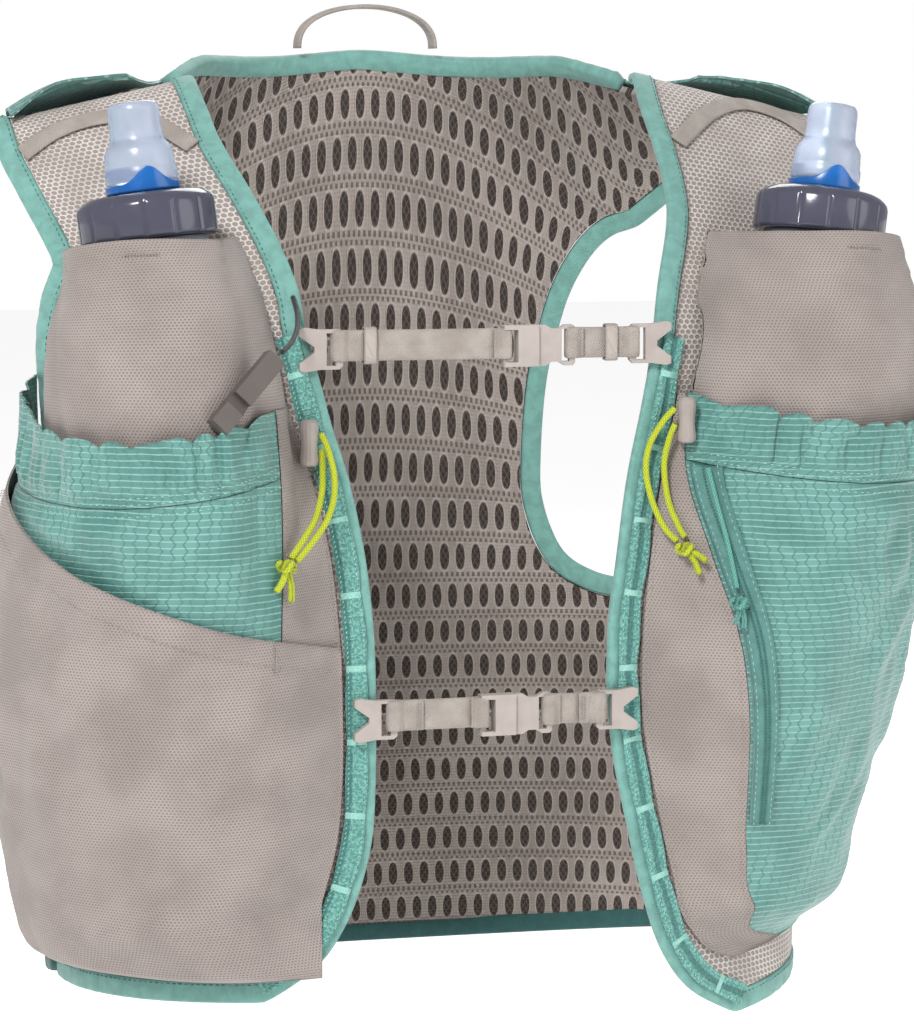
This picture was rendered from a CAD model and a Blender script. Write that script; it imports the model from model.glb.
import math
import bpy
import numpy as np
from mathutils import Matrix, Vector


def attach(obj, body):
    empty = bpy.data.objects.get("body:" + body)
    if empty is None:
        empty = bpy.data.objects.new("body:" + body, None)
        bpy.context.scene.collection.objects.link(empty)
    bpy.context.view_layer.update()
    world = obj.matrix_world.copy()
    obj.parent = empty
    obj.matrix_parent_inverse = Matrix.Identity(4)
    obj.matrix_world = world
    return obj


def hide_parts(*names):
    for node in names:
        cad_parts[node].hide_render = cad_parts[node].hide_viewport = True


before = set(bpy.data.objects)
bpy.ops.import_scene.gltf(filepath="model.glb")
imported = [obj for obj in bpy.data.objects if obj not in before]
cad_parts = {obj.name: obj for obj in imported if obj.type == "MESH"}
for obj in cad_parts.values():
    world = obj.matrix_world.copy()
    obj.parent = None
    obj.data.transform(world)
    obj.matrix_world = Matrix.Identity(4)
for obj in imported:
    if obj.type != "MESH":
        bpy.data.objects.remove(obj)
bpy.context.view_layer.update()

# Sizes in millimetres, in the vest's frame: +Z up, the fronts face -Y, the wearer's right is -X.
CHEST_X, CHEST_Y, DROP = 170.0, 107.0, 375.0
REST, SLOPE, NECK_SOFT = 130.0, 0.23, 30.0
CROWN_DROP, CROWN_RUN, CREST = 115.0, 165.0, 0.1
NAPE_ROUND, NAPE_LIFT, NAPE_HALF = 75.0, 52.0, 115.0
POWER = 2.4
DRAPE = CROWN_RUN + DROP - CROWN_DROP
FRONT_WALL, BACK_WALL, SHELL_WALL, POCKET_WALL = 2.0, 3.0, 1.0, 1.0
GAP, LAYER = 0.3, 1.5
SIDE_STITCH = (2.9, 2.0, 0.28)
light_stitches, teal_stitches, dark_stitches = [], [], []
BIND_W, PROUD = 9.0, 0.7
RAIL_W, RAIL_T, RAIL_LAP = 9.0, 1.2, 3.0
FLASK_T = 50.0
CAP_R, CAP_H, VALVE_R, MOUTH_R, VALVE_H = 26.5, 18.0, 14.0, 10.0, 31.0
SIDES = (("r", -1.0), ("l", 1.0))

TORSO = np.array([
    (-1.0, 0.9, 0.944), (-0.77, 0.918, 0.972), (-0.56, 0.941, 1.0),
    (-0.29, 1.0, 0.991), (-0.11, 1.041, 0.963), (0.08, 1.07, 0.935),
])
FRONT = {
    "r": [
        (0.44, -0.024, 0.81, -0.024), (0.448, 0.022, 0.81, 0.02), (0.445, 0.065, 0.797, 0.065),
        (0.436, 0.11, 0.765, 0.112), (0.407, 0.17, 0.722, 0.18), (0.381, 0.226, 0.712, 0.222),
        (0.364, 0.275, 0.762, 0.272), (0.36, 0.323, 0.8, 0.332), (0.333, 0.405, 0.808, 0.41),
        (0.302, 0.468, 0.832, 0.485), (0.281, 0.533, 0.86, 0.56), (0.272, 0.59, 0.9, 0.61),
        (0.27, 0.62, 0.95, 0.635), (0.269, 0.655, 1.0, 0.642), (0.27, 0.72, 1.0, 0.695),
        (0.277, 0.784, 1.0, 0.745), (0.298, 0.83, 1.0, 0.795), (0.33, 0.868, 1.0, 0.84),
        (0.375, 0.898, 1.0, 0.885), (0.45, 0.924, 1.0, 0.934),
    ],
    "l": [
        (0.425, -0.024, 0.81, -0.024), (0.405, 0.022, 0.81, 0.02), (0.397, 0.065, 0.797, 0.065),
        (0.399, 0.115, 0.765, 0.112), (0.398, 0.165, 0.722, 0.18), (0.388, 0.205, 0.712, 0.222),
        (0.35, 0.275, 0.762, 0.272), (0.33, 0.33, 0.8, 0.332), (0.307, 0.405, 0.808, 0.41),
        (0.285, 0.468, 0.832, 0.485), (0.269, 0.545, 0.86, 0.56), (0.259, 0.59, 0.9, 0.61),
        (0.258, 0.62, 0.95, 0.635), (0.26, 0.66, 1.0, 0.642), (0.276, 0.72, 1.0, 0.7),
        (0.312, 0.79, 1.0, 0.757), (0.346, 0.85, 1.0, 0.812), (0.388, 0.902, 1.0, 0.862),
        (0.45, 0.94, 1.0, 0.908), (0.55, 0.966, 1.0, 0.944),
    ],
}
BACK = [
    (-0.244, 0.81, -0.026, 0.62), (-0.262, 0.77, -0.055, 0.65), (-0.285, 0.68, -0.12, 0.75),
    (-0.31, 0.585, -0.18, 0.85), (-0.338, 0.52, -0.228, 1.0), (-0.365, 0.462, -0.265, 1.0),
    (-0.4, 0.407, -0.315, 1.0), (-0.44, 0.361, -0.372, 1.0), (-0.485, 0.333, -0.436, 1.0),
    (-0.53, 0.326, -0.506, 1.0), (-0.565, 0.336, -0.552, 1.0), (-0.59, 0.385, -0.6, 1.0),
    (-0.61, 0.46, -0.626, 1.0), (-0.628, 0.56, -0.637, 1.0), (-0.645, 0.78, -0.642, 1.0),
    (-0.66, 1.0, -0.642, 1.0), (-0.685, 1.0, -0.675, 1.0), (-0.73, 1.0, -0.72, 1.0),
    (-0.785, 1.0, -0.772, 1.0), (-0.845, 1.0, -0.828, 1.0), (-0.912, 1.0, -0.882, 1.0),
    (-0.975, 1.0, -0.934, 1.0),
]
FLASK = np.array([
    (0.232, 0.106, 0.96), (0.275, 0.116, 1.0), (0.36, 0.122, 1.0), (0.46, 0.12, 0.93),
    (0.55, 0.112, 0.74), (0.61, 0.096, 0.48), (0.638, 0.074, 0.26), (0.645, 0.055, 0.12),
])
NECK_RUN = 0.202
FLASK_G = {"r": 0.529, "l": 0.56}
FLASK_LEAN = {"r": 6.0, "l": 9.0}
SLEEVE = {
    "r": np.array([
        (0.408, 0.208, 0.68, 0.208), (0.396, 0.235, 0.683, 0.235), (0.381, 0.29, 0.712, 0.29),
        (0.366, 0.38, 0.737, 0.38), (0.352, 0.48, 0.742, 0.48), (0.35, 0.58, 0.727, 0.58),
        (0.37, 0.66, 0.7, 0.66), (0.4, 0.715, 0.68, 0.715),
    ]),
    "l": np.array([
        (0.42, 0.205, 0.703, 0.205), (0.402, 0.235, 0.708, 0.235), (0.377, 0.29, 0.745, 0.29),
        (0.36, 0.38, 0.775, 0.38), (0.355, 0.48, 0.78, 0.48), (0.37, 0.58, 0.765, 0.58),
        (0.395, 0.66, 0.735, 0.66), (0.42, 0.715, 0.715, 0.715),
    ]),
}
POCKET = {
    "r": np.array([
        (0.362, 0.392, 0.378, 0.392, 0.84, 0.362), (0.326, 0.46, 0.375, 0.46, 0.858, 0.43),
        (0.3, 0.533, 0.378, 0.53, 0.878, 0.495), (0.291, 0.6, 0.385, 0.6, 0.908, 0.56),
        (0.288, 0.67, 0.39, 0.67, 0.96, 0.622), (0.29, 0.735, 0.4, 0.735, 1.0, 0.69),
        (0.302, 0.795, 0.415, 0.795, 1.0, 0.77), (0.33, 0.85, 0.44, 0.85, 1.0, 0.85),
    ]),
    "l": np.array([
        (0.33, 0.385, 0.34, 0.385, 0.84, 0.362), (0.305, 0.46, 0.333, 0.46, 0.858, 0.43),
        (0.288, 0.54, 0.355, 0.53, 0.878, 0.495), (0.278, 0.61, 0.388, 0.61, 0.908, 0.56),
        (0.284, 0.69, 0.415, 0.69, 0.96, 0.622), (0.32, 0.77, 0.44, 0.76, 1.0, 0.7),
        (0.36, 0.84, 0.465, 0.82, 1.0, 0.77), (0.402, 0.893, 0.5, 0.872, 1.0, 0.83),
        (0.475, 0.924, 0.575, 0.91, 1.0, 0.88), (0.59, 0.944, 0.7, 0.925, 1.0, 0.915),
    ]),
}
BULGE = {
    "r": np.array([
        (0.36, 0.98), (0.5, 1.0), (0.62, 0.92), (0.74, 0.84),
        (0.82, 0.74), (0.88, 0.58), (0.91, 0.44), (0.93, 0.36),
    ]),
    "l": np.array([
        (0.36, 1.0), (0.5, 1.04), (0.6, 0.98), (0.7, 0.8),
        (0.8, 0.56), (0.88, 0.38), (0.93, 0.2), (0.96, 0.0),
    ]),
}


# Surface of the torso that the vest closes around.
def quarter_section(steps=240):
    turn = np.linspace(0, math.pi / 2, steps + 1)
    x = np.sin(turn) ** (2 / POWER)
    y = np.cos(turn) ** (2 / POWER)
    y[-1] = 0.0
    s = np.concatenate([[0], np.cumsum(np.hypot(np.diff(x) * CHEST_X, np.diff(y) * CHEST_Y))])
    return s / s[-1], x, y, s[-1]


Q_S, Q_X, Q_Y, Q_LEN = quarter_section()
SIDE_LIMIT = 0.9995


def smooth(t):
    t = np.clip(t, 0, 1)
    return t * t * (3 - 2 * t)


def cubic(xs, ys, x):
    """Smooth interpolation through table rows, flat beyond its ends."""
    xs, ys = np.asarray(xs, float), np.asarray(ys, float)
    x = np.clip(x, xs[0], xs[-1])
    slope = np.gradient(ys, xs)
    i = np.clip(np.searchsorted(xs, x) - 1, 0, len(xs) - 2)
    h = xs[i + 1] - xs[i]
    t = (x - xs[i]) / h
    a = (2 * t**3 - 3 * t**2 + 1) * ys[i] + (t**3 - 2 * t**2 + t) * h * slope[i]
    return a + (-2 * t**3 + 3 * t**2) * ys[i + 1] + (t**3 - t**2) * h * slope[i + 1]


def torso_point(g, r):
    g, r = np.broadcast_arrays(np.asarray(g, float), np.asarray(r, float))
    reach = np.minimum(1, np.abs(g))
    across = np.interp(reach, Q_S, Q_X)
    forward = np.interp(reach, Q_S, Q_Y)
    travel = np.abs(r) * DRAPE
    share = np.minimum(1, travel / CROWN_RUN)
    level = -CROWN_DROP * share - np.maximum(0, travel - CROWN_RUN)
    x = np.sign(g) * CHEST_X * np.interp(level / DROP, TORSO[:, 0], TORSO[:, 1]) * across
    ridge = (math.hypot(REST, NECK_SOFT) - np.hypot(x, NECK_SOFT)) * SLOPE
    fall_f = (np.hypot(share, CREST) - CREST) / (math.hypot(1, CREST) - CREST)
    fall_b = 1 - np.sin(np.pi / 2 * (1 - share))
    back = r < 0
    fall = np.where(back, fall_b, fall_f)
    depth = np.minimum(1, (ridge + CROWN_DROP) * fall_b / NAPE_ROUND)
    rounding = np.where(back, np.sqrt(np.maximum(0, 1 - (1 - depth) ** 2)), np.sin(np.pi / 2 * share))
    top = np.where(share < 1, ridge - (ridge + CROWN_DROP) * fall, level)
    rounding = np.where(share < 1, rounding, 1.0)
    nape = np.maximum(0, 1 - (x / NAPE_HALF) ** 2) ** 1.2
    lift = np.where(back, NAPE_LIFT * nape * smooth(travel / 70) * (1 - smooth((travel - 100) / 180)), 0)
    y = -np.sign(r) * CHEST_Y * np.interp(level / DROP, TORSO[:, 0], TORSO[:, 2]) * forward * rounding
    return np.stack([x, y, top + lift], axis=-1)


def unit(v):
    return v / np.maximum(1e-9, np.linalg.norm(v, axis=-1, keepdims=True))


def arc_lengths(path):
    """Distance from a path's start to each of its points."""
    return np.concatenate([[0], np.cumsum(np.linalg.norm(np.diff(path, axis=0), axis=1))])


def full_turn(steps):
    return np.linspace(0, 2 * math.pi, steps, endpoint=False)


def blunt(turn, power):
    """Cosine and sine flattened towards a rounded rectangle."""
    c, s = np.cos(turn), np.sin(turn)
    return np.sign(c) * np.abs(c) ** power, np.sign(s) * np.abs(s) ** power


def eased(steps):
    """Shares from 0 to 1, closer together at both ends."""
    return (1 - np.cos(np.linspace(0, np.pi, steps))) / 2


def torso_normal(g, r):
    g, r = np.broadcast_arrays(np.asarray(g, float), np.asarray(r, float))
    step = 0.004
    along = torso_point(g, r + step) - torso_point(g, r - step)
    across = torso_point(np.minimum(1, g + step), r) - torso_point(np.maximum(-1, g - step), r)
    return unit(np.cross(along, across))


def cloth_point(g, r, off):
    return torso_point(g, r) + torso_normal(g, r) * np.asarray(off)[..., None]


def pocket_point(g, r, off):
    n = torso_normal(g, r)
    n[..., 2] = 0
    return torso_point(g, r) + unit(n) * np.asarray(off)[..., None]


def spline(points, t):
    """Catmull-Rom through points, evenly spread over t from 0 to 1."""
    p = np.asarray(points, float)
    last = len(p) - 1
    s = np.clip(np.asarray(t, float), 0, 1) * last
    i = np.minimum(s.astype(int), last - 1)
    w = (s - i)[:, None]
    p0, p1, p2, p3 = p[np.maximum(i - 1, 0)], p[i], p[i + 1], p[np.minimum(i + 2, last)]
    v0, v1 = (p2 - p0) / 2, (p3 - p1) / 2
    return (2 * p1 - 2 * p2 + v0 + v1) * w**3 + (-3 * p1 + 3 * p2 - 2 * v0 - v1) * w**2 + v0 * w + p1


# Value noise over millimetres, the same on every run.
def noise(u, v, scale, seed):
    lattice = np.random.RandomState(seed).rand(64, 64) * 2 - 1
    u, v = np.asarray(u) / scale + 7.3, np.asarray(v) / scale + 3.1
    i, j = np.floor(u).astype(int), np.floor(v).astype(int)
    a, b = smooth(u - i), smooth(v - j)

    def at(x, y):
        return lattice[x % 64, y % 64]

    low = at(i, j) * (1 - a) + at(i + 1, j) * a
    high = at(i, j + 1) * (1 - a) + at(i + 1, j + 1) * a
    return low * (1 - b) + high * b


def folds(u, v, scale, seed):
    """Soft wrinkles with sharper crests."""
    n = noise(u + 6 * noise(u, v, scale, seed + 1), v, scale, seed)
    return (1 - np.abs(n) * 2) * 0.7 + noise(u, v, scale * 0.45, seed + 2) * 0.3


# Meshes.
def mesh_object(name, verts, faces, look, node=None, uv=None, slot=None):
    """A piece in millimetres that stands in for one node, if any. Its slot is its look's name unless given."""
    mesh = bpy.data.meshes.new(name)
    verts = np.asarray(verts, float) * 0.001
    mesh.from_pydata(verts.tolist(), [], faces.tolist() if hasattr(faces, "tolist") else faces)
    mesh.update()
    if uv is not None:
        layer = mesh.uv_layers.new(name="UVMap")
        index = np.zeros(len(mesh.loops), dtype=np.int32)
        mesh.loops.foreach_get("vertex_index", index)
        layer.data.foreach_set("uv", np.asarray(uv, float)[index].ravel())
    mesh.shade_smooth()
    mesh.materials.append(LOOKS[look])
    obj = bpy.data.objects.new(name, mesh)
    bpy.context.scene.collection.objects.link(obj)
    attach(obj, "root")
    slot or look
    if node:
        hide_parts(node)
    return obj


def grid_faces(rows, cols, start=0, flip=False, wrap=False):
    i = np.arange(rows - 1)[:, None]
    j = np.arange(cols if wrap else cols - 1)[None, :]
    k = (j + 1) % cols
    quad = np.stack([i * cols + j, (i + 1) * cols + j, (i + 1) * cols + k, i * cols + k], axis=-1).reshape(-1, 4)
    quad = quad + start
    return quad[:, ::-1] if flip else quad


def tube_faces(rows, cols, flip=False):
    """Faces of a tube of rings with both ends closed."""
    first, last = list(range(cols)), list(range((rows - 1) * cols, rows * cols))
    caps = [first[::-1], last] if flip else [first, last[::-1]]
    return grid_faces(rows, cols, flip=flip, wrap=True).tolist() + caps


def wall(name, inner, outer, look, node, uv=None):
    """Cloth between two grids of points."""
    rows, cols = inner.shape[:2]
    count = rows * cols
    verts = np.concatenate([inner.reshape(-1, 3), outer.reshape(-1, 3)])
    ids = np.arange(count).reshape(rows, cols)
    rim = []
    for line in (ids[0, :], ids[-1, ::-1], ids[::-1, 0], ids[:, -1]):
        a, b = line[:-1], line[1:]
        rim.append(np.stack([a, b, b + count, a + count], axis=-1))
    faces = np.concatenate([grid_faces(rows, cols, 0, True), grid_faces(rows, cols, count), *rim])
    if uv is None:
        uv = cloth_uv(outer)
    return mesh_object(name, verts, faces, look, node, np.concatenate([uv, uv]))


def cloth_uv(grid, run=None):
    """Cloth millimetres: across from the middle column and down the torso, or from the first row."""
    rows, cols = grid.shape[:2]
    across = np.linalg.norm(np.diff(grid, axis=1), axis=-1)
    u = np.concatenate([np.zeros((rows, 1)), np.cumsum(across, axis=1)], axis=1)
    u = u - u[:, cols // 2][:, None]
    down = np.linalg.norm(np.diff(grid, axis=0), axis=-1)
    v = np.concatenate([[0], np.cumsum(down.mean(axis=1))])[:, None]
    v = v if run is None else np.abs(run) * DRAPE
    return np.stack([u, np.broadcast_to(v, u.shape)], axis=-1).reshape(-1, 2)


def declare_sheet(grid):
    across = np.linalg.norm(np.diff(grid, axis=1), axis=-1)
    down = np.linalg.norm(np.diff(grid, axis=0), axis=-1)
    a, b = grid[1:, 1:] - grid[:-1, :-1], grid[1:, :-1] - grid[:-1, 1:]
    area = np.linalg.norm(np.cross(a, b), axis=-1).sum() / 2 * 1e-6
    width, length = across.sum(axis=1).max() * 1e-3, down.sum(axis=0).max() * 1e-3
    area = min(area, width * length)


def frames_along(path, up):
    """Tangent, side and up of each point of a path."""
    tangent = unit(np.gradient(path, axis=0))
    side = unit(np.cross(tangent, up))
    return tangent, side, unit(np.cross(side, tangent))


def ribbon(name, path, up, width, low, high, look, node, slot=None, sections=10, power=0.45, near=None,
           squeeze=1.0):
    """Tape with a soft rounded section along a path that lies on the cloth. near is its first side's reach."""
    _, side, over = frames_along(path, up)
    near = -width / 2 if near is None else near
    c, s = blunt(full_turn(sections), power)
    squeeze = np.broadcast_to(squeeze, len(path))[:, None]
    out = near + width / 2 + width / 2 * c * squeeze
    low, high = np.broadcast_to(low, len(path)), np.broadcast_to(high, len(path))
    rise = ((low + high) / 2)[:, None] + ((high - low) / 2)[:, None] * s
    grid = path[:, None] + side[:, None] * out[..., None] + over[:, None] * rise[..., None]
    uv = np.stack(np.broadcast_arrays(out, arc_lengths(path)[:, None]), axis=-1).reshape(-1, 2)
    return mesh_object(name, grid.reshape(-1, 3), tube_faces(len(path), sections), look, node, uv, slot)


def tube_mesh(path, radius, sections=10, up=(0.0, 0.0, 1.0)):
    """Round tube along a path, with the frame carried along it."""
    path = np.asarray(path, float)
    tangent = unit(np.gradient(path, axis=0))
    side = unit(np.cross(tangent[0], np.asarray(up)))
    if np.linalg.norm(np.cross(tangent[0], np.asarray(up))) < 0.1:
        side = unit(np.cross(tangent[0], np.array([1.0, 0, 0])))
    rings = []
    radius = np.broadcast_to(radius, len(path))
    for i in range(len(path)):
        side = unit(side - tangent[i] * (side @ tangent[i]))
        over = np.cross(side, tangent[i])
        turn = full_turn(sections)
        rings.append(path[i] + radius[i] * (np.cos(turn)[:, None] * side + np.sin(turn)[:, None] * over))
    round_run = np.linspace(0, 2 * math.pi * radius.mean(), sections, endpoint=False)
    uv = np.stack(np.broadcast_arrays(round_run[None, :], arc_lengths(path)[:, None]), axis=-1).reshape(-1, 2)
    return np.concatenate(rings), tube_faces(len(path), sections), uv


def join_parts(parts):
    verts, faces, uvs, start = [], [], [], 0
    for v, f, uv in parts:
        verts.append(np.asarray(v, float))
        faces.extend([[int(i) + start for i in face] for face in f])
        uvs.append(uv if uv is not None else np.zeros((len(v), 2)))
        start += len(v)
    return np.concatenate(verts), faces, np.concatenate(uvs)


def resample(path, pitch):
    path = np.asarray(path, float)
    run = arc_lengths(path)
    count = max(2, int(round(run[-1] / pitch)) + 1)
    at = np.linspace(0, run[-1], count)
    return np.stack([np.interp(at, run, path[:, k]) for k in range(3)], axis=-1)


def stitch_parts(path, up, pitch=3.0, length=2.1, radius=0.3, tilt=0.0):
    """Thread stitches along a path, as small lozenges."""
    points = resample(path, pitch)
    t = np.linspace(0, 1, len(points))
    base = np.linspace(0, 1, len(up))
    ups = unit(np.stack([np.interp(t, base, up[:, k]) for k in range(3)], axis=-1))
    tangent, side, over = frames_along(points, ups)
    along = unit(tangent + side * tilt)
    cross = unit(np.cross(along, over))
    h = length / 2
    shape = [(-h, 0, 0), (h, 0, 0), (0, radius, 0), (0, -radius, 0), (0, 0, radius), (0, 0, -radius * 0.5)]
    tri = np.array([(0, 2, 4), (2, 1, 4), (1, 3, 4), (3, 0, 4), (2, 0, 5), (1, 2, 5), (3, 1, 5), (0, 3, 5)])
    verts = np.stack([points + along * a + cross * b + over * c for a, b, c in shape], axis=1).reshape(-1, 3)
    faces = (tri[None] + np.arange(len(points))[:, None, None] * 6).reshape(-1, 3)
    return verts, faces, None


def sew(target, line, normals, out, *style):
    """Adds stitches along a line of points, raised from the cloth."""
    target.append(stitch_parts(line + normals * out, normals, *style))


# Materials.
class Sock:
    """A shader value that can be added, multiplied and compared."""

    def __init__(self, tree, socket):
        self.tree, self.socket = tree, socket

    def op(self, kind, *others):
        node = self.tree.nodes.new("ShaderNodeMath")
        node.operation = kind
        for slot_in, value in zip(node.inputs, (self, *others)):
            if isinstance(value, Sock):
                self.tree.links.new(value.socket, slot_in)
            else:
                slot_in.default_value = value
        return Sock(self.tree, node.outputs[0])

    def ramp(self, low, high, a=0.0, b=1.0):
        node = self.tree.nodes.new("ShaderNodeMapRange")
        node.interpolation_type = "SMOOTHSTEP"
        for name, value in (("From Min", low), ("From Max", high), ("To Min", a), ("To Max", b)):
            node.inputs[name].default_value = value
        self.tree.links.new(self.socket, node.inputs["Value"])
        return Sock(self.tree, node.outputs["Result"])


for word, kind in {
    "__add__": "ADD", "__sub__": "SUBTRACT", "__mul__": "MULTIPLY", "__truediv__": "DIVIDE", "sin": "SINE",
    "abs": "ABSOLUTE", "fract": "FRACT", "floor": "FLOOR", "power": "POWER", "max": "MAXIMUM", "min": "MINIMUM",
}.items():
    setattr(Sock, word, lambda self, *others, kind=kind: self.op(kind, *others))


class Look:
    """A material under construction."""

    def __init__(self, name):
        self.material = bpy.data.materials.new(name)
        self.material.use_nodes = True
        self.tree = self.material.node_tree
        self.shader = self.tree.nodes["Principled BSDF"]

    def uv(self):
        node = self.tree.nodes.new("ShaderNodeUVMap")
        node.uv_map = "UVMap"
        split = self.tree.nodes.new("ShaderNodeSeparateXYZ")
        self.tree.links.new(node.outputs["UV"], split.inputs[0])
        return Sock(self.tree, split.outputs["X"]), Sock(self.tree, split.outputs["Y"])

    def noise(self, scale, detail=3.0, uv=None, distortion=0.0):
        """Noise of a grain size in millimetres, about 0.5 in the middle."""
        node = self.tree.nodes.new("ShaderNodeTexNoise")
        node.inputs["Detail"].default_value = detail
        node.inputs["Distortion"].default_value = distortion
        if uv:
            join = self.tree.nodes.new("ShaderNodeCombineXYZ")
            self.tree.links.new(uv[0].socket, join.inputs[0])
            self.tree.links.new(uv[1].socket, join.inputs[1])
            self.tree.links.new(join.outputs[0], node.inputs["Vector"])
            node.inputs["Scale"].default_value = 1.0 / scale
        else:
            coords = self.tree.nodes.new("ShaderNodeTexCoord")
            self.tree.links.new(coords.outputs["Object"], node.inputs["Vector"])
            node.inputs["Scale"].default_value = 1000.0 / scale
        return Sock(self.tree, node.outputs["Fac"])

    def mix(self, factor, a, b):
        """Blend of two colours, each a Sock or a triple from 0 to 255."""
        node = self.tree.nodes.new("ShaderNodeMix")
        node.data_type = "RGBA"
        self.tree.links.new(factor.socket, node.inputs[0])
        for slot_in, value in ((node.inputs[6], a), (node.inputs[7], b)):
            if isinstance(value, Sock):
                self.tree.links.new(value.socket, slot_in)
            else:
                slot_in.default_value = (*srgb(*value), 1.0)
        return Sock(self.tree, node.outputs[2])

    def mottle(self, grain, low, high):
        """Colour that drifts between two tones with a noise."""
        return self.mix(grain.ramp(0.3, 0.7), low, high)

    def finish(self, color, rough, height=None, depth=0.3, strength=0.6, **plain):
        """height runs from 0 to 1 and stands for depth millimetres."""
        self.tree.links.new(color.socket, self.shader.inputs["Base Color"])
        if isinstance(rough, Sock):
            self.tree.links.new(rough.socket, self.shader.inputs["Roughness"])
        else:
            self.shader.inputs["Roughness"].default_value = rough
        if height is not None:
            bump = self.tree.nodes.new("ShaderNodeBump")
            bump.inputs["Distance"].default_value = depth * 0.001
            bump.inputs["Strength"].default_value = strength
            self.tree.links.new(height.socket, bump.inputs["Height"])
            self.tree.links.new(bump.outputs[0], self.shader.inputs["Normal"])
        for name, value in plain.items():
            self.shader.inputs[name.replace("_", " ")].default_value = value
        return self.material


def srgb(r, g, b):
    return tuple(((c / 255 + 0.055) / 1.055) ** 2.4 if c > 10 else c / 255 / 12.92 for c in (r, g, b))


def darker(tone, share):
    return tuple(c * share for c in tone)


def wave(x, pitch):
    """Ripples from 0 to 1."""
    return (x * (2 * math.pi / pitch)).sin() * 0.5 + 0.5


def from_middle(x):
    """Distance from the middle of each unit step."""
    return (x.fract() - 0.5).abs()


def cells(u, v, width, height):
    """Offsets from the nearest cell centre of a staggered lattice, in cells."""
    row = (v / height).floor()
    shift = row.op("MODULO", 2.0).abs() * 0.5
    a = (u / width + shift).fract() - 0.5
    b = (v / height).fract() - 0.5
    return a, b


def stretch_look():
    look = Look("stretch_mesh")
    u, v = look.uv()
    a, b = cells(u, v, 1.5, 1.15)
    hole = (a * a + b * b * 0.8).op("SQRT").ramp(0.34, 0.16)
    rib = wave(v, 1.15) * 0.25
    cloud = look.noise(34, 4, (u, v))
    fuzz = look.noise(0.7, 2, (u, v))
    base = look.mottle(cloud, (144, 134, 129), (163, 152, 147))
    tint = look.mix(hole * 0.62, base, (92, 81, 76))
    height = (hole * -0.8 + 0.8) + rib + fuzz * 0.25
    return look.finish(
        tint, 0.88, height, 0.28, 0.75, Sheen_Weight=0.15, Sheen_Roughness=0.6, Specular_IOR_Level=0.25,
    )


def hex_look():
    look = Look("shoulder_mesh")
    u, v = look.uv()
    a, b = cells(u, v, 2.7, 2.3)
    hole = (a.abs().power(2.2) + (b * 0.92).abs().power(2.2)).ramp(0.16, 0.07)
    cloud = look.noise(22, 3, (u, v))
    fuzz = look.noise(0.6, 2, (u, v))
    base = look.mottle(cloud, (192, 182, 176), (218, 210, 204))
    tint = look.mix(hole * 0.85, base, (136, 124, 117))
    height = hole * -1.0 + fuzz * 0.15 + 1.0
    return look.finish(tint, 0.7, height, 0.7, 0.9, Sheen_Weight=0.2, Specular_IOR_Level=0.4)


def spacer_look():
    look = Look("spacer_mesh")
    u, v = look.uv()
    band = (v / 15.4).floor()
    b = (v / 15.4).fract() - 0.5
    shift = band.op("MODULO", 2.0).abs() * 0.5
    wobble = look.noise(40, 2, (u, v)) * 1.6
    a = ((u + wobble) / 7.0 + shift).fract() - 0.5
    oval = ((a.abs() / 0.29).power(2.2) + (b.abs() / 0.33).power(2.2)).op("SQRT")
    hole = oval.ramp(1.04, 0.84)
    rim = oval.ramp(1.5, 1.02) * (hole * -1.0 + 1.0)
    cross = from_middle(u / 2.4 + v / 3.6).min(from_middle(u / 2.4 - v / 3.6))
    strand = cross.ramp(0.16, 0.05)
    c, d = cells(u + wobble, v, 2.33, 2.57)
    eyelet = (c.abs() / 0.26).max(d.abs() / 0.38).ramp(1.0, 0.7) * b.abs().ramp(0.36, 0.4)
    thread = wave(u, 1.1)
    knit = wave(v, 1.3)
    cloud = look.noise(60, 3, (u, v))
    base = look.mottle(cloud, (140, 130, 124), (166, 156, 149))
    lit = look.mix(rim * 0.55, base, (184, 175, 168))
    eyes = look.mix(eyelet * 0.75, lit, (84, 74, 68))
    deep = look.mix(strand * 0.55, (58, 49, 45), (112, 102, 95))
    tint = look.mix(hole, eyes, deep)
    height = hole * -1.0 + 1.0 + rim * 0.3 + eyelet * -0.5 + thread * 0.12 + knit * 0.16 + hole * strand * 0.35
    return look.finish(tint, 0.85, height, 1.4, 0.85, Sheen_Weight=0.1, Specular_IOR_Level=0.25)


def ripstop_look():
    look = Look("ripstop")
    u, v = look.uv()
    sway = look.noise(30, 2, (u, v)) * 2.4
    v = v + sway
    line = from_middle(v / 2.5).ramp(0.15, 0.05)
    column = (u / 4.6 + 0.5).floor()
    parity = column.op("MODULO", 2.0).abs() * 2.0 - 1.0
    zigzag = (from_middle(v / 5.0) * 2.0 - 0.5) * 0.4
    comb = (u / 4.6 - column + parity * zigzag).abs().ramp(0.11, 0.04)
    cloud = look.noise(26, 4, (u, v), 0.6)
    weave = look.noise(0.5, 2, (u, v))
    crinkle = look.noise(8, 4, (u, v), 1.4)
    base = look.mottle(cloud, (70, 122, 115), (98, 150, 142))
    lines = look.mix(line * 0.6, base, (158, 200, 191))
    tint = look.mix(comb * cloud.ramp(0.4, 0.6, 0.15, 0.6), lines, (50, 100, 94))
    height = line * 0.3 + comb * 0.25 + weave * 0.15 + crinkle * 1.2
    return look.finish(
        tint, 0.45, height, 0.7, 0.8, Sheen_Weight=0.3, Sheen_Roughness=0.4, Specular_IOR_Level=0.5,
    )


def binding_look(name="binding", tone=(118, 170, 161)):
    look = Look(name)
    u, v = look.uv()
    rib = wave(v, 0.8)
    pucker = look.noise(5, 3, (u, v), 0.4)
    base = look.mottle(pucker, darker(tone, 0.9), tone)
    return look.finish(base, 0.68, rib * 0.3 + pucker, 0.5, 0.6, Sheen_Weight=0.25, Specular_IOR_Level=0.35)


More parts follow.
